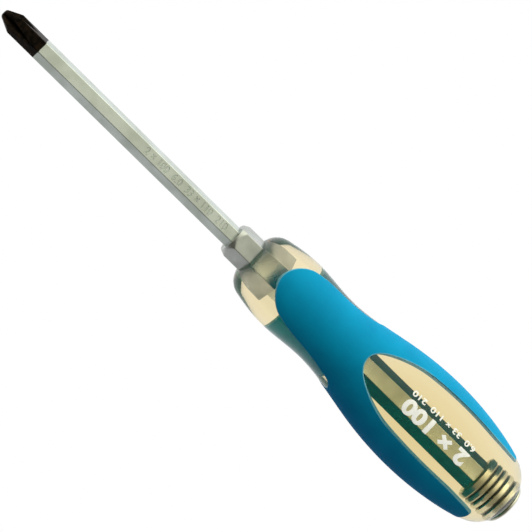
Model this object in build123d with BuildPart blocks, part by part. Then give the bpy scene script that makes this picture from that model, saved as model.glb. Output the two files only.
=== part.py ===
from build123d import *
import os
from math import cos, radians, sin, sqrt, tan

# Go-through screwdriver for cross-slot screws of size 2.
#
# A hexagonal blade runs through the whole tool, from the cross point to the cap that
# takes the hammer. A hexagonal collar for a spanner is pressed onto it, a clear handle
# is moulded around it, and a soft grip is moulded over the handle.
#
# Millimetres. +X runs from the tip to the cap, and the origin is the centre of the
# tip's blunt end. A face of the blade, a face of the collar, the grip's tongue and the
# middle of a rear window of the handle all look along +Z.

# ---------------------------------------------------------------- driving dimensions
# Overall
blade_length = 100.0            # tip to the front face of the handle
handle_length = 110.0           # front face of the handle to the top of the cap

# Blade
blade_flats = 6.0               # across the flats of the hexagonal bar
blade_edge_round = 0.25         # rounding of its six long edges
point_width = 2.3               # blunt end of the point
point_half_angle = 26.5         # degrees, flank to axis
point_turn = 12.0               # degrees, from a face of the bar to a wing of the cross
flute_length = 12.6             # tip to where the flutes run out
flute_web = 0.75                # axis to the root of a flute at the blunt end
flute_angle = 92.0              # degrees, between the two walls of a flute
flute_rise = 5.75               # degrees, slope of a flute's root at the blunt end
flute_root_round = 0.2

# Collar
collar_flats = 10.0
collar_length = 18.5
collar_showing = 7.8            # length in front of the handle
collar_front_width = 9.6        # round land left by the front chamfer
collar_chamfer_length = 1.8
collar_dish_width = 8.2         # shallow dish around the blade
collar_dish_depth = 0.5

# Handle outline: places along it from its front face, and radii
nose_radius = 6.0               # rounding of the front shoulder
nose_land = 4.9                 # radius at which that rounding starts
nose_angle = 78.0               # degrees of the rounding that are used
swell_at, swell_radius = 16.5, 12.2
waist_at, waist_radius = 31.0, 11.3
flank_share, flank_radius = 0.54, 14.55     # how far from the waist to the belly it lies
belly_from_end, belly_radius = 36.0, 16.2   # from here on, places from the cap's top
heel_from_end, heel_radius = 20.0, 14.95
tail_from_end, tail_radius = 8.8, 12.5
tail_slope = -0.3
tail_bulge_from_end, tail_bulge_radius = 4.4, 10.2

# Grip
grip_thickness = 2.0
grip_proud = 0.2                # how far it stands above the clear windows
tongue_at = 8.2                 # tip of the thumb's tongue, from the handle's front face
tongue_length = 8.8             # length over which the tip widens
tongue_half_width = 8.7
under_edge_at = 19.5            # front of the grip's underside, from the handle's front face
under_edge_radius = 22.0        # its curve, seen from above
front_window_end = 43.4         # from the handle's front face
front_window_half_height = 4.6
front_window_round = 3.6
rear_window_at = 43.5           # from the handle's front face
rear_window_shoulder = 6.1      # behind its apex
rear_window_shoulder_half_width = 6.5
rear_window_half_width = 10.6
rear_window_widest_from_end = 26.0
rear_window_end_half_width = 9.8
arm_end_from_end = 9.4          # end of the grip's two arms to the cap's top
arm_half_width = 8.4
arm_corner_round = 2.8

# Cap
cap_width = 14.0
cap_height = 1.9
cap_rim = 0.5                   # height of the rim under the dome
cap_rim_chamfer = 0.25
strike_face_width = 6.0
stem_width = 9.7                # over the rings
stem_length = 14.4
stem_chamfer = 0.7
ring_pitch = 2.25
ring_groove_depth = 0.45
ring_groove_width = 1.0
socket_depth = 12.0             # how far the blade goes into the stem

# -------------------------------------------------------------------- derived places
handle_front = blade_length
tool_end = blade_length + handle_length
handle_end = tool_end - cap_height
stem_front = handle_end - stem_length
blade_end = stem_front + socket_depth
collar_front = handle_front - collar_showing
waist_x = handle_front + waist_at
belly_x = tool_end - belly_from_end
flank_x = waist_x + flank_share * (belly_x - waist_x)
beyond = 2 * belly_radius       # farther out than any surface of the tool

nose_edge_x = handle_front + nose_radius * (1 - cos(radians(nose_angle)))
nose_edge_r = nose_land + nose_radius * sin(radians(nose_angle))
nose_slope = 1 / tan(radians(nose_angle))


def handle_side(raised):
    """The handle's outline from shoulder to tail, raised above the clear surface."""
    stations = [
        (nose_edge_x, nose_edge_r + raised),
        (handle_front + swell_at, swell_radius + raised),
        (waist_x, waist_radius + raised),
        (flank_x, flank_radius + raised),
        (belly_x, belly_radius + raised),
        (tool_end - heel_from_end, heel_radius + raised),
        (tool_end - tail_from_end, tail_radius + raised),
    ]
    return Spline(*stations, tangents=[(1, nose_slope), (1, tail_slope)])


def hexagon(flats):
    """A hexagon across the tool, with two of its flats square to Z."""
    return RegularPolygon(radius=flats / 2, side_count=6, major_radius=False)


def across_tool(x):
    """A drawing plane square to the tool at x, with the drawing's y along Z."""
    return Plane.YZ.offset(x)


# ------------------------------------------------------------------------- the blade
# The bar's front is turned to a cone. A large disc with a V-shaped rim then mills the
# four flutes: its rim cuts deepest at the blunt end and leaves the bar at flute_length.
blade_corner = blade_flats / sqrt(3)
point_length = (blade_corner - point_width / 2) / tan(radians(point_half_angle))
flute_bow = blade_corner - flute_web - flute_length * tan(radians(flute_rise))
disc_radius = flute_length ** 2 / (2 * flute_bow)
disc_x = -disc_radius * sin(radians(flute_rise))
disc_height = flute_web + disc_radius * cos(radians(flute_rise))
rim_depth = blade_flats
rim_half_width = rim_depth * tan(radians(flute_angle / 2))

with BuildPart() as blade:
    with BuildSketch(across_tool(0)):
        hexagon(blade_flats)
    extrude(amount=blade_end)
    fillet(blade.edges().filter_by(Axis.X), radius=blade_edge_round)
    with BuildSketch(Plane.XZ):
        with BuildLine():
            Polyline(
                (0, point_width / 2),
                (point_length, blade_corner),
                (point_length, blade_flats),
                (-1, blade_flats),
                (-1, point_width / 2),
                close=True,
            )
        make_face()
    revolve(axis=Axis.X, mode=Mode.SUBTRACT)
    for quarter in range(4):
        turn = radians(point_turn + 45 + 90 * quarter)
        outward = Vector(0, sin(turn), cos(turn))
        disc_axis = Vector(1, 0, 0).cross(outward)
        disc_centre = Vector(disc_x, 0, 0) + outward * disc_height
        with BuildSketch(Plane(disc_centre, x_dir=disc_axis, z_dir=(1, 0, 0))) as rim:
            with BuildLine():
                Polyline(
                    (0, disc_radius),
                    (rim_half_width, disc_radius - rim_depth),
                    (-rim_half_width, disc_radius - rim_depth),
                    close=True,
                )
            make_face()
            fillet(rim.vertices().sort_by(Axis.Y)[-1], radius=flute_root_round)
        revolve(axis=Axis(disc_centre, disc_axis), mode=Mode.SUBTRACT)
blade.part.label = "blade"

# ------------------------------------------------------------------------ the collar
# Its front corners are chamfered to a round land, and a dish surrounds the blade.
with BuildPart() as collar:
    with BuildSketch(across_tool(collar_front)):
        hexagon(collar_flats)
    extrude(amount=collar_length)
    with BuildSketch(Plane.XZ):
        with BuildLine():
            Polyline(
                (collar_front, collar_front_width / 2),
                (collar_front + collar_chamfer_length, collar_flats / sqrt(3)),
                (collar_front + collar_chamfer_length, collar_flats),
                (collar_front, collar_flats),
                close=True,
            )
        make_face()
    revolve(axis=Axis.X, mode=Mode.SUBTRACT)
    with BuildSketch(Plane.XZ):
        with BuildLine():
            Polyline(
                (collar_front, 0),
                (collar_front, collar_dish_width / 2),
                (collar_front + collar_dish_depth, blade_corner),
                (collar_front + collar_dish_depth, 0),
                close=True,
            )
        make_face()
    revolve(axis=Axis.X, mode=Mode.SUBTRACT)
    add(blade.part, mode=Mode.SUBTRACT)
collar.part.label = "collar"

# --------------------------------------------------------------------------- the cap
# A ringed stem anchors the cap in the handle. Its socket takes the end of the blade.
stem_radius = stem_width / 2
ring_room = stem_length - stem_chamfer - ring_groove_width
ring_line = [(stem_front, stem_radius - stem_chamfer)]
ring_line.append((stem_front + stem_chamfer, stem_radius))
for ring in range(1, int(ring_room / ring_pitch) + 1):
    groove = stem_front + stem_chamfer + ring * ring_pitch
    ring_line.append((groove - ring_groove_width / 2, stem_radius))
    ring_line.append((groove, stem_radius - ring_groove_depth))
    ring_line.append((groove + ring_groove_width / 2, stem_radius))

with BuildPart() as strike_cap:
    with BuildSketch(Plane.XZ):
        with BuildLine():
            Polyline(
                *ring_line,
                (handle_end, stem_radius),
                (handle_end, cap_width / 2 - cap_rim_chamfer),
                (handle_end + cap_rim_chamfer, cap_width / 2),
                (handle_end + cap_rim, cap_width / 2),
            )
            TangentArc(
                (tool_end, strike_face_width / 2),
                (handle_end + cap_rim, cap_width / 2),
                tangent=(0, 1),
            )
            Polyline(
                (tool_end, strike_face_width / 2),
                (tool_end, 0),
                (stem_front, 0),
                ring_line[0],
            )
        make_face()
    revolve(axis=Axis.X)
    add(blade.part, mode=Mode.SUBTRACT)
strike_cap.part.label = "strike_cap"

# -------------------------------------------------------------------------- the grip
# A shell over the handle. It leaves open the nose around a tongue for the thumb, a window
# on each side of the waist, and two long windows that run out between its two arms.
tongue_tip = handle_front + tongue_at
tongue_root = tongue_tip + tongue_length
front_window_tip = handle_front + front_window_end
front_window_bend = front_window_tip - front_window_round
rear_window_tip = handle_front + rear_window_at
arm_end = tool_end - arm_end_from_end

root_line = Edge.make_line((tongue_root, 0), (tongue_root, beyond))
root_radius = root_line.intersect(handle_side(grip_proud))[0].Y
tongue_root_height = sqrt(root_radius ** 2 - tongue_half_width ** 2)

with BuildPart() as grip:
    with BuildSketch(Plane.XZ):
        with BuildLine():
            outside = handle_side(grip_proud)
            inside = handle_side(grip_proud - grip_thickness)
            Line(outside @ 0, inside @ 0)
            Line(outside @ 1, inside @ 1)
        make_face()
    revolve(axis=Axis.X)
    # The nose, seen from above: all that is not tongue.
    with BuildSketch(Plane.XY):
        with BuildLine():
            Spline(
                (tongue_tip, 0),
                (tongue_root, tongue_half_width),
                tangents=[(0, 1), (1, 0.1)],
            )
            Polyline(
                (tongue_root, tongue_half_width),
                (tongue_root, beyond),
                (handle_front, beyond),
                (handle_front, 0),
            )
            mirror(about=Plane.XZ)
        make_face()
    extrude(amount=beyond, both=True, mode=Mode.SUBTRACT)
    # The nose underneath, seen from above: the grip starts farther back there.
    with BuildSketch(Plane.XY):
        with Locations((handle_front, 0)):
            Rectangle(under_edge_at + under_edge_radius, 1.8 * under_edge_radius,
                      align=(Align.MIN, Align.CENTER))
        with Locations((handle_front + under_edge_at + under_edge_radius, 0)):
            Circle(under_edge_radius, mode=Mode.SUBTRACT)
    extrude(amount=-beyond, mode=Mode.SUBTRACT)
    # The windows beside the waist, seen from the side.
    with BuildSketch(Plane.XZ):
        with BuildLine():
            Line((tongue_root, 0), (tongue_root, tongue_root_height))
            flank = Spline(
                (tongue_root, tongue_root_height),
                (front_window_bend, front_window_half_height),
                tangents=[(1, -0.25), (1, -0.08)],
            )
            Spline(
                flank @ 1,
                (front_window_tip, 0),
                tangents=[(1, -0.08), (0, -1)],
            )
            mirror(about=Plane.XZ)
        make_face()
    extrude(amount=beyond, both=True, mode=Mode.SUBTRACT)
    # The long windows, seen from above.
    with BuildSketch(Plane.XY):
        with BuildLine():
            Spline(
                (rear_window_tip, 0),
                (rear_window_tip + rear_window_shoulder, rear_window_shoulder_half_width),
                (tool_end - rear_window_widest_from_end, rear_window_half_width),
                (tool_end, rear_window_end_half_width),
                tangents=[(0, 1), (1, -0.1)],
            )
            Line((tool_end, rear_window_end_half_width), (tool_end, 0))
            mirror(about=Plane.XZ)
        make_face()
    extrude(amount=beyond, both=True, mode=Mode.SUBTRACT)
    # All that lies behind the rounded ends of the arms, seen from the side.
    with BuildSketch(Plane.XZ):
        with BuildLine():
            Line((arm_end, 0), (arm_end, arm_half_width - arm_corner_round))
            RadiusArc(
                (arm_end, arm_half_width - arm_corner_round),
                (arm_end - arm_corner_round, arm_half_width),
                -arm_corner_round,
            )
            Polyline(
                (arm_end - arm_corner_round, arm_half_width),
                (arm_end - arm_corner_round, beyond),
                (tool_end, beyond),
                (tool_end, 0),
            )
            mirror(about=Plane.XZ)
        make_face()
    extrude(amount=beyond, both=True, mode=Mode.SUBTRACT)
grip.part.label = "grip"

# ------------------------------------------------------------------------ the handle
# Clear plastic moulded around the blade, the collar and the cap's stem, with a sunk bed
# for the grip.
with BuildPart() as handle:
    with BuildSketch(Plane.XZ):
        with BuildLine():
            side = handle_side(0)
            RadiusArc((handle_front, nose_land), side @ 0, nose_radius)
            ThreePointArc(
                side @ 1,
                (tool_end - tail_bulge_from_end, tail_bulge_radius),
                (handle_end, cap_width / 2),
            )
            Polyline((handle_end, cap_width / 2), (handle_end, 0), (handle_front, 0))
            Line((handle_front, 0), (handle_front, nose_land))
        make_face()
    revolve(axis=Axis.X)
    for moulded_in in (blade, collar, strike_cap, grip):
        add(moulded_in.part, mode=Mode.SUBTRACT)
handle.part.label = "handle"

# ------------------------------------------------------------------------- the files
os.makedirs("parts", exist_ok=True)
export_step(blade.part, "parts/blade.step")
export_step(collar.part, "parts/collar.step")
export_step(handle.part, "parts/handle.step")
export_step(grip.part, "parts/grip.step")
export_step(strike_cap.part, "parts/strike_cap.step")
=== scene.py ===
# %% [markdown]
# # A go-through screwdriver
#
# One hexagonal steel bar runs through a clear handle, from a black cross point to a steel
# cap that takes the hammer. A hexagonal collar for a spanner sits on the bar, and a soft
# blue grip is moulded over the handle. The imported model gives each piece's place and size.
# Here each piece is drawn again as a fine surface, and gets its finish.

# %% Load the frame
from math import asin, cos, radians, sin, sqrt, tan

import bmesh
import bpy
import numpy as np
from mathutils import Matrix, Vector


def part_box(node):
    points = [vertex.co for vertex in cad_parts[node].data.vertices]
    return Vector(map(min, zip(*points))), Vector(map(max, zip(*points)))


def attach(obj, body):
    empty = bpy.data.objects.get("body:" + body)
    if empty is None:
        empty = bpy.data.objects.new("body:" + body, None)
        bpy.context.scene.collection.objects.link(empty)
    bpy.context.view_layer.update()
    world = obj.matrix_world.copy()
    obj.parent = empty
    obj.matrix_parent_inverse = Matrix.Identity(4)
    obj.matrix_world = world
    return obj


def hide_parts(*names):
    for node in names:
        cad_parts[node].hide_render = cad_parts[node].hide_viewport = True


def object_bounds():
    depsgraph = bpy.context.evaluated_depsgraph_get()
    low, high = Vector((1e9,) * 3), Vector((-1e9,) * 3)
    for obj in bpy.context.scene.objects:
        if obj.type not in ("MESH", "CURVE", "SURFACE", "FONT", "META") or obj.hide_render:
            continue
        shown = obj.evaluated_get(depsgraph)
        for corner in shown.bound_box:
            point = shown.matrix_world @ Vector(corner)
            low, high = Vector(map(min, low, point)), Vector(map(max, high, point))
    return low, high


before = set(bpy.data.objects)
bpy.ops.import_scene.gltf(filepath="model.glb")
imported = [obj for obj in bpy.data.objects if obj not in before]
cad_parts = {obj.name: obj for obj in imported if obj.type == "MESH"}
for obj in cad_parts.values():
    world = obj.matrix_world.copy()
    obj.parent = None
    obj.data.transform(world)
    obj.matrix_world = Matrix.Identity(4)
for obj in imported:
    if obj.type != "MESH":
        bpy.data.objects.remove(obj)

cad_low, cad_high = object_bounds()
print("nodes", sorted(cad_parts))

# %% [markdown]
# ## Places, in millimetres
#
# The script works in millimetres, as the maker's drawing does, and turns them to metres
# only when a mesh is made. +X runs from the point to the cap. The places along the tool
# are read off the frame's boxes, so they can't drift away from the frame.

# %% Places read from the frame
MM = 0.001


def span(node, axis):
    """Where a node starts and ends along an axis, in millimetres."""
    low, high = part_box(node)
    return low[axis] / MM, high[axis] / MM


tip, bar_end = span("blade", 0)
collar_front, collar_back = span("collar", 0)
handle_front, handle_end = span("handle", 0)
stem_front, tool_end = span("strike_cap", 0)
tongue_tip, arm_end = span("grip", 0)
bar_flats = 2 * span("blade", 2)[1]
collar_flats = 2 * span("collar", 2)[1]
cap_radius = span("strike_cap", 1)[1]
print(f"handle {handle_front:.1f} to {handle_end:.1f}, cap to {tool_end:.1f}")
print(f"bar {bar_flats:.1f} and collar {collar_flats:.1f} across flats")

# %% [markdown]
# ## Surfaces as grids
#
# Every piece of this tool is turned, drawn or moulded around one axis. So each one is a
# grid of points: rows follow its outline along the tool, and columns go around it. The
# radius is a formula of both, and numpy works out the whole grid at once. Blender could
# also screw or loft an outline, but a formula lets hexagons, flutes and stamped figures
# share one surface.

# %% The grid helpers
def put_mesh(name, points, faces, smooth_angle=30):
    """Make an object from points in millimetres, with faces that look outwards."""
    mesh = bpy.data.meshes.new(name)
    mesh.from_pydata((points * MM).tolist(), [], faces)
    mesh.validate()
    mesh.shade_smooth()
    mesh.set_sharp_from_angle(angle=radians(smooth_angle))
    piece = bpy.data.objects.new(name, mesh)
    bpy.context.scene.collection.objects.link(piece)
    print(f"{name}: {len(points)} points, {len(faces)} faces")
    return piece


def turned(name, x, radius, angle, ring=False, smooth_angle=30):
    """Close a surface around the X axis.

    Point (i, j) stands at x[i], at a distance radius[i, j] from the axis, in the
    direction angle[j] from +Z towards +Y. A ring's last row joins its first one.
    Otherwise the first and last rows are closed by a fan to a point on the axis.
    """
    rows, columns = radius.shape
    x = np.broadcast_to(np.asarray(x, float).reshape(rows, -1), radius.shape)
    points = np.stack([x, radius * np.sin(angle), radius * np.cos(angle)], -1).reshape(-1, 3)
    grid = np.arange(rows * columns).reshape(rows, columns)
    here = np.vstack([grid, grid[:1]]) if ring else grid
    right = np.roll(here, -1, axis=1)
    quads = np.stack([here[:-1], here[1:], right[1:], right[:-1]], -1).reshape(-1, 4)
    faces = quads.tolist()
    if not ring:
        front, back = len(points), len(points) + 1
        points = np.vstack([points, [x[0].mean(), 0, 0], [x[-1].mean(), 0, 0]])
        for row, turned_round, centre in ((0, False, front), (-1, True, back)):
            a, b = here[row], right[row]
            fan = np.stack([b, a, np.full(columns, centre)] if turned_round
                           else [a, b, np.full(columns, centre)], -1)
            faces += fan.tolist()
    if outward_volume(points, faces) < 0:
        faces = [face[::-1] for face in faces]
    return put_mesh(name, points, faces, smooth_angle)


def store(piece, name, values):
    """Keep a number for each point of a piece, for its material to read."""
    layer = piece.data.attributes.new(name, "FLOAT", "POINT")
    layer.data.foreach_set("value", np.asarray(values, np.float32).ravel())


def outward_volume(points, faces):
    """Volume inside the faces: below zero when they look inwards."""
    fans = [(f[0], f[k], f[k + 1]) for f in faces for k in range(1, len(f) - 1)]
    a, b, c = points[np.array(fans)].transpose(1, 0, 2)
    return np.einsum("ij,ij->i", a, np.cross(b, c)).sum() / 6


def smooth_path(stations, start, end, steps):
    """Carry a smooth line through stations, leaving and arriving in given directions.

    Each coordinate is a cubic between two stations, in the length of the chords, and
    neighbouring cubics share their slope and curvature.
    """
    stations = np.array(stations, float)
    chord = np.linalg.norm(np.diff(stations, axis=0), axis=1)
    place = np.append(0, np.cumsum(chord))
    count = len(stations)
    system = np.eye(count)
    wanted = np.zeros((count, 2))
    wanted[0] = np.array(start, float) / np.hypot(*start)
    wanted[-1] = np.array(end, float) / np.hypot(*end)
    rise = np.diff(stations, axis=0) / chord[:, None] ** 2
    for i in range(1, count - 1):
        system[i, i - 1:i + 2] = 1 / chord[i - 1], 2 / chord[i - 1] + 2 / chord[i], 1 / chord[i]
        wanted[i] = 3 * (rise[i - 1] + rise[i])
    slope = np.linalg.solve(system, wanted)
    at = np.linspace(0, place[-1], steps)
    k = np.clip(np.searchsorted(place, at, side="right") - 1, 0, count - 2)
    t = ((at - place[k]) / chord[k])[:, None]
    h = chord[k][:, None]
    return ((1 + 2 * t) * (1 - t) ** 2 * stations[k] + t * (1 - t) ** 2 * h * slope[k]
            + t ** 2 * (3 - 2 * t) * stations[k + 1] - t ** 2 * (1 - t) * h * slope[k + 1])


def around(half):
    """Angles from 0 to 180 degrees, and back again on the tool's other side."""
    return np.concatenate([half[:-1], 2 * np.pi - half[:0:-1]])


def mirrored(block):
    """Repeat half of the columns on the tool's other side, as around() does."""
    return np.hstack([block[:, :-1], block[:, :0:-1]])


# %% [markdown]
# ## The handle's outline
#
# The handle is a body of revolution: a round shoulder, a swell for the finger and thumb, a
# waist, a belly that fills the palm and a tail that draws in to the cap. One smooth line
# through a few stations gives it, with an arc at each end.

# %% Outline
nose_radius = 6.0
nose_land = 4.9
nose_angle = radians(78)
swell_x = handle_front + 16.5
waist_x = handle_front + 31
belly_x = tool_end - 36
belly_radius = 16.2
tail_slope, cap_slope = -0.3, -2.0
side_stations = [
    (handle_front + nose_radius * (1 - cos(nose_angle)), nose_land + nose_radius * sin(nose_angle)),
    (swell_x, 12.2),
    (waist_x, 11.3),
    (waist_x + 0.54 * (belly_x - waist_x), 14.55),
    (belly_x, belly_radius),
    (tool_end - 20, 14.95),
    (tool_end - 8.8, 12.5),
]
side = smooth_path(side_stations, (1, 1 / tan(nose_angle)), (1, tail_slope), 260)
tail = smooth_path([side[-1], (tool_end - 4.4, 10.2), (handle_end, cap_radius)],
                   (1, tail_slope), (1, cap_slope), 30)


def clear_radius(x):
    """Radius of the clear handle at x, between its shoulder and its tail."""
    return np.interp(x, side[:, 0], side[:, 1])


print(f"swell {clear_radius(swell_x):.1f}, waist {clear_radius(waist_x):.1f}, "
      f"belly {side[:, 1].max():.1f} mm")

# %% [markdown]
# ## The grip's edges
#
# The mould shuts the soft plastic off along two lines. The front line runs around the
# thumb's tongue, along the two windows beside the waist and across the underside. The
# rear line runs around the two long windows and across the ends of two arms. Each line
# goes once around the tool, so each is a place along the tool for every angle off +Z.
# One side is enough: the other mirrors it.

# %% Edges
grip_proud = 0.2                 # how far it stands above the clear surface
tongue_root = tongue_tip + 8.8
tongue_half_width = 8.7
front_window_end = handle_front + 43.4
front_window_height = 4.6
front_window_round = 3.6
under_edge = handle_front + 19.5
under_edge_radius = 22.0
rear_window_tip = handle_front + 43.5
rear_window = [(rear_window_tip, 0), (rear_window_tip + 6.1, 6.5), (tool_end - 26, 10.6),
               (tool_end - 9, 10.25)]
arm_half_width = 8.4
arm_round = 2.8
window_slope = -0.08             # the front window's side, where its end starts to round


def seen_from_above(path):
    """Angle from +Z at which a line drawn from above lies on the grip."""
    return np.arcsin(np.clip(path[:, 1] / (clear_radius(path[:, 0]) + grip_proud), 0, 1))


def seen_from_side(path):
    """Angle from +Z at which a line drawn from the side lies on the grip."""
    return np.arccos(np.clip(path[:, 1] / (clear_radius(path[:, 0]) + grip_proud), 0, 1))


tongue = smooth_path([(tongue_tip, 0), (tongue_root, tongue_half_width)], (0, 1), (1, 0.1), 80)
root_height = sqrt((clear_radius(tongue_root) + grip_proud) ** 2 - tongue_half_width ** 2)
bend_x = front_window_end - front_window_round
flank = smooth_path([(tongue_root, root_height), (bend_x, front_window_height)],
                    (1, -0.25), (1, window_slope), 80)
corner = smooth_path([(bend_x, front_window_height), (front_window_end, 0)],
                     (1, window_slope), (0, -1), 40)
front_angle = np.concatenate([seen_from_above(tongue), seen_from_side(flank)[1:],
                              seen_from_side(corner)[1:]])
front_place = np.concatenate([tongue[:, 0], flank[1:, 0], corner[1:, 0]])

rear = smooth_path(rear_window, (0, 1), (1, -0.1), 200)
turn = np.linspace(0, np.pi / 2, 30)
arm = np.stack([arm_end - arm_round * (1 - np.sin(turn)),
                arm_half_width - arm_round * (1 - np.cos(turn))], -1)
arm = np.vstack([arm, [arm_end, 0]])


def softened(place, width=radians(2.5)):
    """Round the kinks of a line over an angle, by a weighted mean of its neighbours."""
    count = int(width / (edge_angles[1] - edge_angles[0]))
    weight = np.hanning(2 * count + 1)
    wide = np.pad(place, count, mode="reflect")
    return np.convolve(wide, weight / weight.sum(), mode="valid")


edge_angles = np.linspace(0, np.pi, 1801)
off_plane = np.minimum(edge_angles, np.pi - edge_angles)
front_line = np.interp(off_plane, front_angle, front_place)
half_way_out = (clear_radius(under_edge + 1) + grip_proud) * np.sin(off_plane)
underside = under_edge + under_edge_radius - np.sqrt(under_edge_radius ** 2 - half_way_out ** 2)
front_line = softened(np.where(edge_angles > np.pi / 2, np.maximum(front_line, underside),
                               front_line))
rear_line = softened(np.minimum(np.interp(off_plane, seen_from_above(rear), rear[:, 0]),
                                np.interp(off_plane, seen_from_side(arm), arm[:, 0])))


def front_edge(angle):
    """Where the grip starts, for an angle from 0 to 180 degrees off +Z."""
    return np.interp(angle, edge_angles, front_line)


def rear_edge(angle):
    """Where the grip ends: at the window's line or at the arm's end, the nearer one."""
    return np.interp(angle, edge_angles, rear_line)


edge_line = np.vstack([
    np.stack([front_line, edge_angles], -1),
    np.stack([rear_line, edge_angles], -1),
])


def inside_grip(x, angle):
    """Distance from the grip's nearest edge, along the surface: below zero outside it.

    It is the shortest of the distances to many points of both edges, with the angle
    taken as a length at the handle's radius.
    """
    across = clear_radius(x)
    distance = np.full(x.shape, np.inf)
    for block in np.array_split(edge_line, 36):
        gap = np.hypot(x[..., None] - block[:, 0],
                       across[..., None] * (angle[..., None] - block[:, 1]))
        distance = np.minimum(distance, gap.min(-1))
    return np.where((x > front_edge(angle)) & (x < rear_edge(angle)), distance, -distance)


print(f"front edge {front_place.min():.1f} to {front_place.max():.1f}, "
      f"rear edge {rear_window_tip:.1f} to {arm_end:.1f}")

# %% [markdown]
# ## The soft grip
#
# Thermoplastic rubber is moulded over the clear handle in a second shot. It is a shell
# about 2 mm thick with a rounded lip, and stands a little proud of the windows. Its
# columns stand closer together where the edges run along the tool, so the lips stay smooth.

# %% Grip
lip_round = 0.35
lip_start = -0.06        # the lip's foot, below the clear surface
underside_depth = 1.9    # from the clear surface down to the grip's inner side
wall_rim = 0.1           # what "rim" says on the end walls, seen through the handle
far_from_rim = 9.0       # what it says on the inner side
row_shares = (0.5 - 0.5 * np.cos(np.linspace(0, np.pi, 100)))[:, None]


def lip_height(distance):
    """Quarter circle from the edge up to the grip's full height."""
    near = np.clip(1 - distance / lip_round, 0, 1)
    return lip_start + (grip_proud - lip_start) * np.sqrt(1 - near ** 2)


step = np.sqrt(np.gradient(front_line) ** 2 + np.gradient(rear_line) ** 2
               + (belly_radius * np.gradient(edge_angles)) ** 2)
grip_half = np.interp(np.linspace(0, 1, 301), np.cumsum(step) / step.sum(), edge_angles)
grip_half[[0, -1]] = 0, np.pi

outer_x = front_edge(grip_half) * (1 - row_shares) + rear_edge(grip_half) * row_shares
depth_in = np.maximum(inside_grip(outer_x, np.broadcast_to(grip_half, outer_x.shape)), 0)
depth_in[[0, -1]] = 0
outer_r = clear_radius(outer_x) + lip_height(depth_in)
inner_x = outer_x[::-4]
inner_r = clear_radius(inner_x) - underside_depth
grip_angles = around(grip_half)
grip = turned("soft_grip", mirrored(np.vstack([outer_x, inner_x])),
              mirrored(np.vstack([outer_r, inner_r])), grip_angles, ring=True, smooth_angle=50)
# The rim value also sets the painted lip highlight: full at the edge, nearly full on the end walls,
# none on the inner side.
rim = np.vstack([depth_in, np.full(inner_x.shape, far_from_rim)])
rim[[len(outer_x), -1]] = wall_rim
store(grip, "rim", mirrored(rim))
store(grip, "inner_side",
      mirrored(np.vstack([np.zeros(outer_x.shape), np.ones(inner_x.shape)])))

# %% [markdown]
# ## The bar
#
# The bar is drawn hexagonal steel. Its front is turned to a cone, and four flutes are
# milled into it by a large wheel with a V-shaped rim. So at each place and angle the
# surface is the nearest of three: hexagon, cone and flute. A soft minimum joins them,
# because blasting before the black finish rounds the sharp edges a little.

# %% Bar formulas
edge_round = 0.25
point_radius = 1.15
point_slope = tan(radians(26.5))
flute_length = 12.6
flute_web = 0.75
flute_rise = radians(5.75)
flute_half_angle = radians(46)
flute_root_round = 0.03
point_turn = radians(12)
blast_round = 0.03
blunt_round = 0.6        # rounding of the blunt end's rim
least_opening = 0.02     # below it, a direction never meets the flute's wall
far_out = 50.0           # and this distance stands for no surface


def hexagon(angle, flats, rounding):
    """Distance from the axis to a hexagon with rounded corners and a flat along +Z."""
    off_flat = (angle + np.pi / 6) % (np.pi / 3) - np.pi / 6
    flat = flats / 2 / np.cos(off_flat)
    off_corner = np.pi / 6 - np.abs(off_flat)
    centre = (flats / 2 - rounding) / cos(np.pi / 6)
    reach = np.maximum(rounding ** 2 - (centre * np.sin(off_corner)) ** 2, 0)
    corner = centre * np.cos(off_corner) + np.sqrt(reach)
    corner_ends = asin(sin(np.pi / 6) * rounding / centre)
    return np.where(off_corner < corner_ends, corner, flat)


def flute(x, angle):
    """Distance from the axis to the V-shaped flutes.

    The floor of a flute lies on the milling wheel's rim, a circle that is deepest at the
    blunt end. Its walls rise on both sides at the flute's half angle.
    """
    corner = bar_flats / sqrt(3)
    bow = corner - flute_web - flute_length * tan(flute_rise)
    wheel = flute_length ** 2 / (2 * bow)
    centre_x = -wheel * sin(flute_rise)
    centre_height = flute_web + wheel * cos(flute_rise)
    floor = centre_height - np.sqrt(np.maximum(wheel ** 2 - (x - centre_x) ** 2, 0))
    off = (angle - point_turn) % (np.pi / 2) - np.pi / 4
    rounded = np.sqrt(np.sin(off) ** 2 + flute_root_round ** 2)
    opening = np.cos(off) - rounded / tan(flute_half_angle)
    return np.where(opening > least_opening, floor / np.maximum(opening, least_opening), far_out)


def nearest(*radii, softness=blast_round):
    """Soft minimum: minus the logarithm of the summed exponentials."""
    total = sum(np.exp(-np.minimum(r, 20) / softness) for r in radii)
    return -softness * np.log(total)


# %% The point
point_end = 17.0
point_x = np.concatenate([tip + blunt_round * (1 - np.cos(np.linspace(0, np.pi / 2, 14)[:-1])),
                          np.linspace(tip + blunt_round, point_end, 150)])
point_angle = np.linspace(0, 2 * np.pi, 240, endpoint=False)
grid_x, grid_a = np.meshgrid(point_x, point_angle, indexing="ij")
short_of_round = np.clip(1 - (grid_x - tip) / blunt_round, 0, 1)
cone = (point_radius + (grid_x - tip) * point_slope
        - blunt_round * (1 - np.sqrt(1 - short_of_round ** 2)))
point_r = nearest(hexagon(grid_a, bar_flats, edge_round), cone, flute(grid_x, grid_a))
blade_point = turned("blade_point", point_x, point_r, point_angle)

# %% [markdown]
# ## The stamped figures
#
# The size is stamped into one face of the bar: point size, blade length, and the bar's,
# handle's and tool's sizes. Blender's own letters give the outlines. The bar's grid is
# fine under them, and each of its points that lies inside a letter is pressed in.

# %% Letters
stamp_words = "2 \u00d7 100  6.0  33 \u00d7 110  210"
stamp_height = 2.3
stamp_from, stamp_to = 55.7, 88.4
stamp_depth = 0.11
stamp_pitch = 0.085      # rows of points along the bar, under the figures
stamp_margin = 0.3


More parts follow.
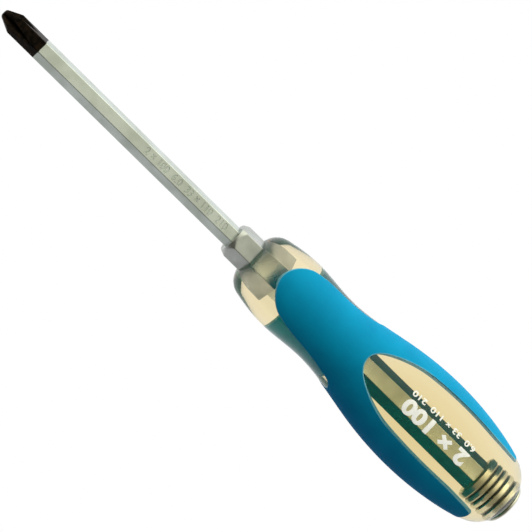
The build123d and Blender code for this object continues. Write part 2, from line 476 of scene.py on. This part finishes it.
def flat_letters(words, boldness=0.0, spacing=1.0):
    """Flat triangles of some words, in millimetres, one millimetre high, centred."""
    curve = bpy.data.curves.new("letters", "FONT")
    curve.body = words
    curve.offset = boldness
    curve.space_character = spacing
    curve.resolution_u = 5
    letters = bpy.data.objects.new("letters", curve)
    mesh = bpy.data.meshes.new_from_object(letters)
    mesh.calc_loop_triangles()
    points = np.empty(len(mesh.vertices) * 3)
    mesh.vertices.foreach_get("co", points)
    corners = np.empty(len(mesh.loop_triangles) * 3, int)
    mesh.loop_triangles.foreach_get("vertices", corners)
    bpy.data.objects.remove(letters)
    bpy.data.meshes.remove(mesh)
    points = points.reshape(-1, 3)[:, :2]
    low, high = points.min(0), points.max(0)
    return (points - (low + high) / 2) / (high - low)[1], corners.reshape(-1, 3)


def covered(points, triangles, u, v):
    """1 where (u, v) lies in one of the triangles, else 0.

    A point lies in a triangle when it is on the same side of all three sides.
    """
    inside = np.zeros(u.shape, bool)
    for a, b, c in points[triangles]:
        sides = [(q[0] - p[0]) * (v - p[1]) - (q[1] - p[1]) * (u - p[0])
                 for p, q in ((a, b), (b, c), (c, a))]
        inside |= (np.minimum.reduce(sides) >= 0) | (np.maximum.reduce(sides) <= 0)
    return inside.astype(float)


# %% The bar behind the point
seam = 0.3               # how far the bar starts inside the point
seam_depth = 0.05
top_flat = np.arctan(np.linspace(-1, 1, 72) / sqrt(3))[1:-1]
other_flat = np.arctan(np.sin(np.linspace(-np.pi / 2, np.pi / 2, 15)) / sqrt(3))
edge_steps = np.radians([-2.2, -1.4, -0.7, 0, 0.7, 1.4, 2.2])
bar_angle = np.unique(np.round(np.concatenate(
    [top_flat] + [np.radians(60 * k) + other_flat[1:-1] for k in range(1, 6)]
    + [np.radians(30 + 60 * k) + edge_steps for k in range(6)]) % (2 * np.pi), 6))
stamp_x = np.arange(stamp_from - stamp_margin, stamp_to + stamp_margin, stamp_pitch)
bar_x = np.concatenate([[point_end - seam], np.linspace(point_end, stamp_x[0] - 1, 12), stamp_x,
                        np.linspace(stamp_x[-1] + 1, bar_end, 30)])
grid_x, grid_a = np.meshgrid(bar_x, bar_angle, indexing="ij")
bar_r = hexagon(grid_a, bar_flats, edge_round)
bar_r[0] -= seam_depth
letter_points, letter_triangles = flat_letters(stamp_words, spacing=1.05)
letter_points[:, 0] *= (stamp_to - stamp_from) / np.ptp(letter_points[:, 0])
letter_points[:, 0] += (stamp_from + stamp_to) / 2
letter_points[:, 1] *= stamp_height
on_face = (np.cos(grid_a) > cos(np.pi / 6)) & (grid_x >= stamp_x[0]) & (grid_x <= stamp_x[-1])
stamp = np.zeros(grid_x.shape)
stamp[on_face] = covered(letter_points, letter_triangles, grid_x[on_face],
                         (bar_r * np.sin(grid_a))[on_face])
blade_bar = turned("blade_bar", bar_x, bar_r - stamp_depth * stamp, bar_angle)

# %% [markdown]
# ## The collar
#
# A hexagonal collar is turned from bar, chamfered and pressed on. A spanner on it adds
# force. Its front has a shallow dish around the bar. It is a ring: the outline goes along
# the outside and comes back along the bore, a little inside the bar so no gap shows.

# %% Collar
contact = 0.05           # how far touching pieces overlap, so that no light gets between
collar_round = 0.2
collar_angle = np.sort(np.concatenate([
    np.radians(60 * k + np.array([-29.8, -29.2, -28, -25, -20, -12, 0, 12, 20, 25, 28, 29.2, 29.8,
                                  30])) for k in range(6)]) % (2 * np.pi))
hexagonal = hexagon(collar_angle, collar_flats, collar_round)
bore = hexagon(collar_angle, bar_flats - 2 * contact, edge_round)
chamfer_run, land_radius, dish_radius, dish_depth = 1.8, 4.8, 4.1, 0.5
rise = (collar_flats / sqrt(3) - land_radius) / chamfer_run
run = np.linspace(0, chamfer_run, 26)
collar_x = np.concatenate([[collar_front + dish_depth, collar_front], collar_front + run,
                           np.linspace(collar_front + chamfer_run + 0.2, collar_back, 8),
                           [collar_back]])
collar_r = np.vstack([
    bore, np.full(collar_angle.shape, dish_radius),
    nearest(hexagonal[None, :], land_radius + run[:, None] * rise, softness=0.04),
    np.tile(hexagonal, (8, 1)), bore,
])
collar = turned("wrench_collar", collar_x, collar_r, collar_angle, ring=True)

# %% [markdown]
# ## The strike cap
#
# The cap is turned from steel. Its stem has rings that lock it in the clear plastic, and
# its socket takes the end of the bar. The top is a shallow dome, flat in the middle
# where the hammer lands.

# %% Cap
stem_radius, stem_chamfer = 4.85, 0.7
ring_pitch, groove_depth, groove_width = 2.25, 0.45, 1.0
groove_reach = 0.62 * groove_width          # from a groove's bottom to its rounded shoulder
rim_height, rim_chamfer, strike_radius = 0.5, 0.25, 3.0
ring_from = stem_front + stem_chamfer
rings = int((handle_end - ring_from - groove_width) / ring_pitch)
ring_x = np.linspace(ring_from, handle_end, 12 * (rings + 1))


def ring_dip(x):
    """Depth of the grooves at x: a rounded V at each pitch, from 0 at the crests to 1."""
    off = np.abs((x - ring_from + ring_pitch / 2) % ring_pitch - ring_pitch / 2)
    inside = (x > ring_from + ring_pitch / 2) & (x < ring_from + (rings + 0.5) * ring_pitch)
    return inside * np.clip(1 - off / groove_reach, 0, 1) ** 1.3


ring_line = np.vstack([[stem_front, stem_radius - stem_chamfer],
                       np.stack([ring_x, stem_radius - groove_depth * ring_dip(ring_x)], -1)])
turn = np.linspace(0, np.pi / 2, 16)
dome_rise = tool_end - handle_end - rim_height
dome = np.stack([handle_end + rim_height + dome_rise * np.sin(turn),
                 cap_radius - (cap_radius - strike_radius) * (1 - np.cos(turn))], -1)
cap_line = np.vstack([
    ring_line, [(handle_end, cap_radius - rim_chamfer), (handle_end + rim_chamfer, cap_radius)],
    dome, [(tool_end, 1.0)],
])
cap_angle = np.linspace(0, 2 * np.pi, 168, endpoint=False)
socket = hexagon(cap_angle, bar_flats - 2 * contact, edge_round)
cap_r = np.vstack([0.3 * socket, socket, socket, np.tile(cap_line[:, 1:], (1, len(cap_angle)))])
cap_x = np.concatenate([[bar_end - contact, bar_end - contact, stem_front], cap_line[:, 0]])
strike_cap = turned("strike_cap_steel", cap_x, cap_r, cap_angle)
fan_centres = [0, 0]
store(strike_cap, "ring_dip",
      np.append(np.repeat(ring_dip(cap_x), len(cap_angle)), fan_centres))

# %% [markdown]
# ## The clear handle
#
# The handle is cellulose acetate, moulded around the metal. Where it touches metal there
# is no air, so its inner walls lie just inside the metal: light meets the metal first.
# Its bed for the grip is sunk below the grip's surface and above its underside, for the
# same reason. The outline goes along the outside and comes back along the inside.

# %% Handle
bed_depth = 0.9
bed_from, bed_to = 0.45, 1.6     # how far inside the grip's edge the bed goes down
cap_seat = 0.4                   # how far inside the cap's rim the handle's outside ends

nose = np.linspace(0, nose_angle, 22)[:-1]
nose_x = handle_front + nose_radius * (1 - np.cos(nose))
nose_r = nose_land + nose_radius * np.sin(nose)
side_x = np.linspace(side[0, 0], side[-1, 0], 200)
clear_half = np.linspace(0, np.pi, 145)
clear_angles = around(clear_half)


def full(radius):
    """The same radius all the way around, for each row."""
    return np.tile(np.asarray(radius, float).reshape(-1, 1), (1, len(clear_angles)))


rows, columns = np.meshgrid(side_x, clear_half, indexing="ij")
depth_in = inside_grip(rows, columns)
sunk = np.clip((depth_in - bed_from) / (bed_to - bed_from), 0, 1)
sunk = bed_depth * sunk ** 2 * (3 - 2 * sunk)
side_r = mirrored(clear_radius(rows) - sunk)

stem_x = ring_line[::-1, 0] + np.where(ring_line[::-1, 0] == stem_front, contact, 0)
stem_r = ring_line[::-1, 1] - contact
bar_wall = hexagon(clear_angles, bar_flats - 2 * contact, edge_round)
collar_wall = hexagon(clear_angles, collar_flats - 2 * contact, collar_round)
handle_x = np.concatenate([
    nose_x, side_x, tail[1:, 0], [handle_end + contact], stem_x,
    [stem_front + contact], [collar_back - contact, collar_back - contact, handle_front],
])
handle_r = np.vstack([
    full(nose_r), side_r, full(tail[1:, 1]), full([cap_radius - cap_seat]), full(stem_r),
    bar_wall, bar_wall, collar_wall, collar_wall,
])
handle = turned("clear_handle", handle_x, handle_r, clear_angles, ring=True)

# %% [markdown]
# ## The printed figures
#
# The maker prints the size on one long window with a soft pad. The letters are flat, so
# they are cut into strips and wrapped around the handle, then thickened to a film of ink.

# %% Print
print_from, print_to = handle_front + 59.7, handle_front + 85.5
print_length = print_to - print_from
ink = 0.03               # thickness of the film


def wrapped_print(name, words, height, middle_angle, boldness):
    """Wrap words around the clear handle, read from the cap, as a film of ink.

    Along the tool a letter's place is its x, and around it the angle is its height
    divided by the handle's radius.
    """
    points, triangles = flat_letters(words, boldness)
    points[:, 0] *= print_length / np.ptp(points[:, 0])
    points[:, 1] *= height
    flat = bmesh.new()
    corners = [flat.verts.new((p[0], p[1], 0)) for p in points]
    for a, b, c in triangles:
        flat.faces.new((corners[a], corners[b], corners[c]))
    for axis, reach, pitch in ((1, height / 2, 0.5), (0, print_length / 2, 1.0)):
        for at in np.arange(-reach + pitch, reach, pitch):
            normal = Vector((axis == 0, axis == 1, 0))
            whole = flat.verts[:] + flat.edges[:] + flat.faces[:]
            bmesh.ops.bisect_plane(flat, geom=whole, plane_co=normal * at, plane_no=normal)
    mesh = bpy.data.meshes.new(name)
    flat.to_mesh(mesh)
    flat.free()
    place = np.empty(len(mesh.vertices) * 3)
    mesh.vertices.foreach_get("co", place)
    place = place.reshape(-1, 3)
    x = (print_from + print_to) / 2 - place[:, 0]
    angle = radians(middle_angle) - place[:, 1] / clear_radius(x)
    radius = clear_radius(x) + ink / 2
    wrapped = np.stack([x, radius * np.sin(angle), radius * np.cos(angle)], -1)
    mesh.vertices.foreach_set("co", (wrapped * MM).ravel())
    mesh.update()
    piece = bpy.data.objects.new(name, mesh)
    bpy.context.scene.collection.objects.link(piece)
    film = piece.modifiers.new("film", "SOLIDIFY")
    film.thickness = ink * MM
    film.offset = 0
    print(f"{name}: {len(mesh.polygons)} faces")
    return piece


size_print = wrapped_print("size_print", "2 \u00d7 100",
                           height=5.0, middle_angle=-7.6, boldness=0.045)
small_print = wrapped_print("small_print", "6.0  33 \u00d7 110  210",
                            height=1.9, middle_angle=8.0, boldness=0.02)

# %% [markdown]
# ## Materials
#
# A material starts from what the real one is and how its surface was made. One function
# turns hex colours into the linear values that Blender mixes, and one adds a node with
# its settings and links. Patterns read Object coordinates, which are metres on the tool,
# so a feature of w millimetres needs a noise scale of about 1000 / w.

# %% Material helpers
def colour(hex_code):
    """Linear red, green, blue and alpha of an sRGB hex colour."""
    srgb = np.array([int(hex_code[k:k + 2], 16) / 255 for k in (1, 3, 5)])
    linear = np.where(srgb <= 0.04045, srgb / 12.92, ((srgb + 0.055) / 1.055) ** 2.4)
    return (*linear.tolist(), 1.0)


def add_node(tree, kind, settings=None, links=None):
    """Add a node, set its properties and plain sockets, and feed its linked sockets."""
    node = tree.nodes.new(kind)
    for key, value in (settings or {}).items():
        if isinstance(key, int) or key in node.inputs:
            node.inputs[key].default_value = value
        else:
            setattr(node, key, value)
    for key, source in (links or {}).items():
        tree.links.new(source, node.inputs[key])
    return node


def new_material(name, settings):
    """A material with its shader's plain sockets set. Returns it, its tree and shader."""
    material = bpy.data.materials.new(name)
    material.use_nodes = True
    tree = material.node_tree
    shader = tree.nodes["Principled BSDF"]
    for key, value in settings.items():
        shader.inputs[key].default_value = value
    return material, tree, shader


def feature(width):
    """Noise scale for features of a width in millimetres."""
    return 1 / (width * MM)


def pattern(tree, width, detail=2.0, stretch=(1, 1, 1)):
    """Noise with features of a width in millimetres, stretched along the tool's axes."""
    place = add_node(tree, "ShaderNodeTexCoord")
    mapping = add_node(tree, "ShaderNodeMapping", {"Scale": stretch},
                       {"Vector": place.outputs["Object"]})
    return add_node(tree, "ShaderNodeTexNoise", {"Scale": feature(width), "Detail": detail},
                    {"Vector": mapping.outputs["Vector"]})


def between(tree, source, low, high, from_low=0.35, from_high=0.65):
    """Spread the middle of a pattern over low to high."""
    return add_node(tree, "ShaderNodeMapRange",
                    {"From Min": from_low, "From Max": from_high, "To Min": low, "To Max": high},
                    {"Value": source}).outputs["Result"]


def blend(tree, share, first, second):
    """Mix two colours by a share from 0 to 1. Each is a hex code or a node's output."""
    mix = add_node(tree, "ShaderNodeMix", {"data_type": "RGBA"})
    for key, value in ((0, share), (6, first), (7, second)):
        if isinstance(value, str):
            mix.inputs[key].default_value = colour(value)
        else:
            tree.links.new(value, mix.inputs[key])
    return mix.outputs[2]


def bumps(tree, shader, height, strength, depth):
    """Tilt the surface's normal by a height pattern, with a depth in millimetres."""
    bump = add_node(tree, "ShaderNodeBump", {"Strength": strength, "Distance": depth * MM},
                    {"Height": height})
    tree.links.new(bump.outputs["Normal"], shader.inputs["Normal"])


def stored(tree, name):
    """Read a number that store() kept on the piece."""
    return add_node(tree, "ShaderNodeAttribute", {"attribute_name": name}).outputs["Fac"]


# %% [markdown]
# ### Satin nickel plate
#
# Drawn steel keeps fine lines along the bar, and nickel plate covers them without hiding
# them. It gives a soft, slightly warm and greenish grey mirror, stretched across the
# lines. The point is blasted and blackened: an oxide film, dark and dull.

# %% Steel
def plated_steel(name, light, dark):
    """Drawn steel under nickel plate, whose colour wanders between two tones.

    The drawn lines run along the tool, 0.25 mm apart. Real ones are finer, but wouldn't
    show. Returns the material, its tree and shader, and the plate's colour.
    """
    material, tree, shader = new_material(name, {"Metallic": 1.0})
    lines = pattern(tree, 0.25, 3.0, stretch=(0.02, 1, 1))
    cloud = pattern(tree, 6.0, 3.0).outputs["Fac"]
    tree.links.new(between(tree, cloud, 0.24, 0.36), shader.inputs["Roughness"])
    bumps(tree, shader, lines.outputs["Fac"], 0.12, 0.03)
    plate = blend(tree, between(tree, cloud, 0, 1), light, dark)
    tree.links.new(plate, shader.inputs["Base Color"])
    return material, tree, shader, plate


def blackened_nickel(name, light, dark, black_until):
    """Nickel plate that turns to black oxide in front of a place along the tool."""
    material, tree, shader, plate = plated_steel(name, light, dark)
    place = add_node(tree, "ShaderNodeTexCoord")
    along = add_node(tree, "ShaderNodeSeparateXYZ", links={0: place.outputs["Object"]})
    ragged = add_node(tree, "ShaderNodeMath", {"operation": "MULTIPLY_ADD", 1: 0.5 * MM},
                      {0: pattern(tree, 1.2).outputs["Fac"], 2: along.outputs["X"]})
    black = between(tree, ragged.outputs[0], 1, 0, (black_until + 0.2) * MM,
                    (black_until + 0.3) * MM)
    brown = between(tree, pattern(tree, 1.6, 4).outputs["Fac"], 0, 1, 0.4, 0.75)
    oxide = blend(tree, brown, "#0E0D0C", "#261D16")
    tree.links.new(blend(tree, black, plate, oxide), shader.inputs["Base Color"])
    return material


bar_tones = "#D2DAD5", "#C2CAC3"
bar_nickel = plated_steel("satin_nickel_bar", *bar_tones)[0]
point_finish = blackened_nickel("blackened_point", *bar_tones, black_until=14.4)
collar_nickel = plated_steel("satin_nickel_collar", "#C2C6C2", "#B0B4B0")[0]

# The grooves between the rings are painted dark green: painted shade in the hollows.
cap_nickel, tree, shader, plate = plated_steel("plated_cap", "#E6E4D2", "#CBCAB8")
painted_groove_shade = between(tree, stored(tree, "ring_dip"), 0, 0.9, 0.1, 0.7)
tree.links.new(blend(tree, painted_groove_shade, plate, "#20302A"), shader.inputs["Base Color"])

# %% [markdown]
# ### Cellulose acetate
#
# A clear, tough plastic with a faint amber tint that deepens with thickness. So the tint
# is an absorption inside, not a colour outside. It bends light by 1.49 and shines like
# polished plastic, with shallow ripples where it shrank in the mould.

# %% Clear plastic
clear_acetate, tree, shader = new_material("cellulose_acetate", {
    "Base Color": colour("#FFFFFF"), "Roughness": 0.03, "IOR": 1.49,
    "Transmission Weight": 1.0})
ripple = pattern(tree, 7.0, 1.0, stretch=(0.4, 1, 1))
bumps(tree, shader, ripple.outputs["Fac"], 0.06, 0.4)
amber = add_node(tree, "ShaderNodeVolumeAbsorption",
                 {"Color": colour("#EDDA81"), "Density": 44.0})
tree.links.new(amber.outputs["Volume"], tree.nodes["Material Output"].inputs["Volume"])

# %% [markdown]
# ### Thermoplastic rubber
#
# The grip is a matt blue rubber. The mould's surface is spark-eroded, which leaves a fine
# grain of pits that scatters the light. The lip is painted a lighter cyan, a painted
# highlight along the rounded edge. Its inner side has a weak painted glow, for light
# that would come through 2 mm of rubber.

# %% Soft plastic
# The emission colour is for the painted glow on the grip's inner side.
soft_rubber, tree, shader = new_material("thermoplastic_rubber", {
    "IOR": 1.5, "Specular IOR Level": 0.08, "Emission Color": colour("#00C0F0")})
cloud = between(tree, pattern(tree, 9.0, 3.0).outputs["Fac"], 0, 1)
# Painted highlight: near the grip's edge the lip is painted a lighter cyan, #9ADCEB.
painted_lip_highlight = between(tree, stored(tree, "rim"), 0.8, 0, 0.05, 0.4)
body = blend(tree, painted_lip_highlight, blend(tree, cloud, "#00A4DC", "#009AD2"), "#9ADCEB")
tree.links.new(body, shader.inputs["Base Color"])
grain = pattern(tree, 0.35, 2.0).outputs["Fac"]
tree.links.new(between(tree, grain, 0.6, 0.75), shader.inputs["Roughness"])
bumps(tree, shader, grain, 0.18, 0.05)
# Painted glow: the grip's inner side emits a weak cyan light, in place of light coming through the
# rubber.
painted_inner_glow = add_node(tree, "ShaderNodeMath", {"operation": "MULTIPLY", 1: 0.09},
                  {0: stored(tree, "inner_side")})
tree.links.new(painted_inner_glow.outputs[0], shader.inputs["Emission Strength"])

# %% [markdown]
# ### Printing ink
#
# White pad-printing ink is a dull, chalky film, a little thinner here and there. Light
# that comes up through the clear handle brightens it, which a weak glow stands in for.

# %% Ink
pad_ink, tree, shader = new_material("pad_printing_ink", {
    "IOR": 1.5, "Emission Color": colour("#FFFFFF"), "Emission Strength": 0.35})
thin = between(tree, pattern(tree, 0.8, 3.0).outputs["Fac"], 0, 1)
tree.links.new(blend(tree, thin, "#F4F4EE", "#DCE0D8"), shader.inputs["Base Color"])
tree.links.new(between(tree, pattern(tree, 0.5).outputs["Fac"], 0.4, 0.6),
               shader.inputs["Roughness"])

# %% [markdown]
# ## Every piece takes its place
#
# Each piece rides on the one body, stands for its node and gets its finish; the table also lists
# each finish's slot.

# %% Ride, replace, finish
assembly = [
    (blade_point, "blade", "blade_steel", point_finish),
    (blade_bar, "blade", "blade_steel", bar_nickel),
    (collar, "collar", "collar_steel", collar_nickel),
    (strike_cap, "strike_cap", "cap_steel", cap_nickel),
    (handle, "handle", "clear_handle", clear_acetate),
    (size_print, "handle", "clear_handle", pad_ink),
    (small_print, "handle", "clear_handle", pad_ink),
    (grip, "grip", "soft_grip", soft_rubber),
]
for piece, node, slot, material in assembly:
    piece.data.materials.append(material)
    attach(piece, "root")
    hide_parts(node)
    print(piece.name, "stands for", node)

# %% [markdown]
# ## The studio
#
# The tool lies on a pale table that is lit from below, as catalogues show clear things:
# the table shines through the windows and leaves no shadow. Metal mirrors it darker on
# one side, as if a grey card stood there, which gives the steel its form. Its light on
# dull surfaces is weak and cool on that side, and strong and white on the other. A soft
# warm light from the bright side comes from the room itself.

# %% Table
floor_mesh = bpy.data.meshes.new("table")
reach = 3.0
lowest = cad_low[2]
floor_mesh.from_pydata([(-reach, -reach, lowest), (reach, -reach, lowest),
                        (reach, reach, lowest), (-reach, reach, lowest)], [], [(0, 1, 2, 3)])
table = bpy.data.objects.new("table", floor_mesh)
bpy.context.scene.collection.objects.link(table)
lit_table, tree, shader = new_material("lit_table", {})
tree.nodes.remove(shader)
ray = add_node(tree, "ShaderNodeLightPath")
place = add_node(tree, "ShaderNodeTexCoord")
across = add_node(tree, "ShaderNodeSeparateXYZ", links={0: place.outputs["Object"]})

# Metal sees the grey card, dull surfaces get the cool spill, and the eye sees plain white.
card = between(tree, across.outputs["Y"], 0.5, 1.05, -0.06, 0.02)
spill = between(tree, across.outputs["Y"], 0.18, 1.2, -0.03, 0.05)
unseen = add_node(tree, "ShaderNodeMix", links={0: ray.outputs["Is Diffuse Ray"], 2: card,
                                                3: spill})
seen = add_node(tree, "ShaderNodeMath", {"operation": "MAXIMUM"},
                {0: ray.outputs["Is Camera Ray"], 1: ray.outputs["Is Transmission Ray"]})
strength = add_node(tree, "ShaderNodeMix", {3: 1.0},
                    {0: seen.outputs[0], 2: unseen.outputs[0]})
not_diffuse = add_node(tree, "ShaderNodeMath", {"operation": "SUBTRACT", 0: 1.0},
                       {1: ray.outputs["Is Diffuse Ray"]})
neutral = add_node(tree, "ShaderNodeMath", {"operation": "MAXIMUM"}, {
    0: not_diffuse.outputs[0], 1: between(tree, across.outputs["Y"], 0, 1, -0.03, 0.03)})
light = blend(tree, neutral.outputs[0], "#96C8FF", "#FFFFFF")
glow = add_node(tree, "ShaderNodeEmission", links={"Color": light,
                                                   "Strength": strength.outputs[0]})
tree.links.new(glow.outputs[0], tree.nodes["Material Output"].inputs["Surface"])
floor_mesh.materials.append(lit_table)

# %% Room
world = bpy.data.worlds.new("studio")
bpy.context.scene.world = world
world.use_nodes = True
tree = world.node_tree
direction = add_node(tree, "ShaderNodeTexCoord")
key_tilt = radians(70)           # from straight up towards the bright side
key_strength, key_falloff = 2.0, 1.7
room_strength = 0.14
clear_lift = 0.2                 # what light through the clear plastic sees on top of it
key_side = Vector((0, sin(key_tilt), cos(key_tilt)))
facing = add_node(tree, "ShaderNodeVectorMath", {"operation": "DOT_PRODUCT", 1: key_side},
                  {0: direction.outputs["Generated"]})
lit_side = add_node(tree, "ShaderNodeMath", {"operation": "MAXIMUM", 1: 0.0},
                    {0: facing.outputs["Value"]})
lobe = add_node(tree, "ShaderNodeMath", {"operation": "POWER", 1: key_falloff},
                {0: lit_side.outputs[0]})
room = add_node(tree, "ShaderNodeMath",
                {"operation": "MULTIPLY_ADD", 1: key_strength, 2: room_strength},
                {0: lobe.outputs[0]})
ray = add_node(tree, "ShaderNodeLightPath")
around_clear = add_node(tree, "ShaderNodeMath", {"operation": "MULTIPLY_ADD", 1: clear_lift},
                        {0: ray.outputs["Is Transmission Ray"], 2: room.outputs[0]})
tree.links.new(around_clear.outputs[0], tree.nodes["Background"].inputs["Strength"])
tree.nodes["Background"].inputs["Color"].default_value = colour("#FFFDE9")

# %% [markdown]
# ## The camera
#
# The camera stands 650 mm away, 12 degrees behind square to the tool, so that the side of
# the cap shows, and rolled 10.5 degrees about the tool. The tool lies across the frame
# from the top left to the bottom right.

# %% Camera
distance = 650 * MM
behind = radians(12)
roll = radians(10.5)
slant = radians(44.51)           # the tool's slope in the frame
aim_along, aim_below = 105.26 * MM, 0.85 * MM
along = Vector((1, 0, 0))
level = Vector((0, -sin(roll), cos(roll)))
backwards = cos(behind) * level - sin(behind) * along
tool_in_frame = (along + sin(behind) * backwards) / cos(behind)
across_tool = backwards.cross(tool_in_frame)
right = cos(slant) * tool_in_frame + sin(slant) * across_tool
up = -sin(slant) * tool_in_frame + cos(slant) * across_tool
aim = along * aim_along + across_tool * aim_below
camera = bpy.data.objects.new("camera", bpy.data.cameras.new("camera"))
camera.data.sensor_width = 36
camera.data.lens = 150.6
camera.data.clip_start = 0.01
camera.matrix_world = Matrix((right, up, backwards)).transposed().to_4x4()
camera.location = aim + distance * backwards
bpy.context.scene.collection.objects.link(camera)
bpy.context.scene.camera = camera
bpy.context.scene.view_settings.view_transform = "Standard"
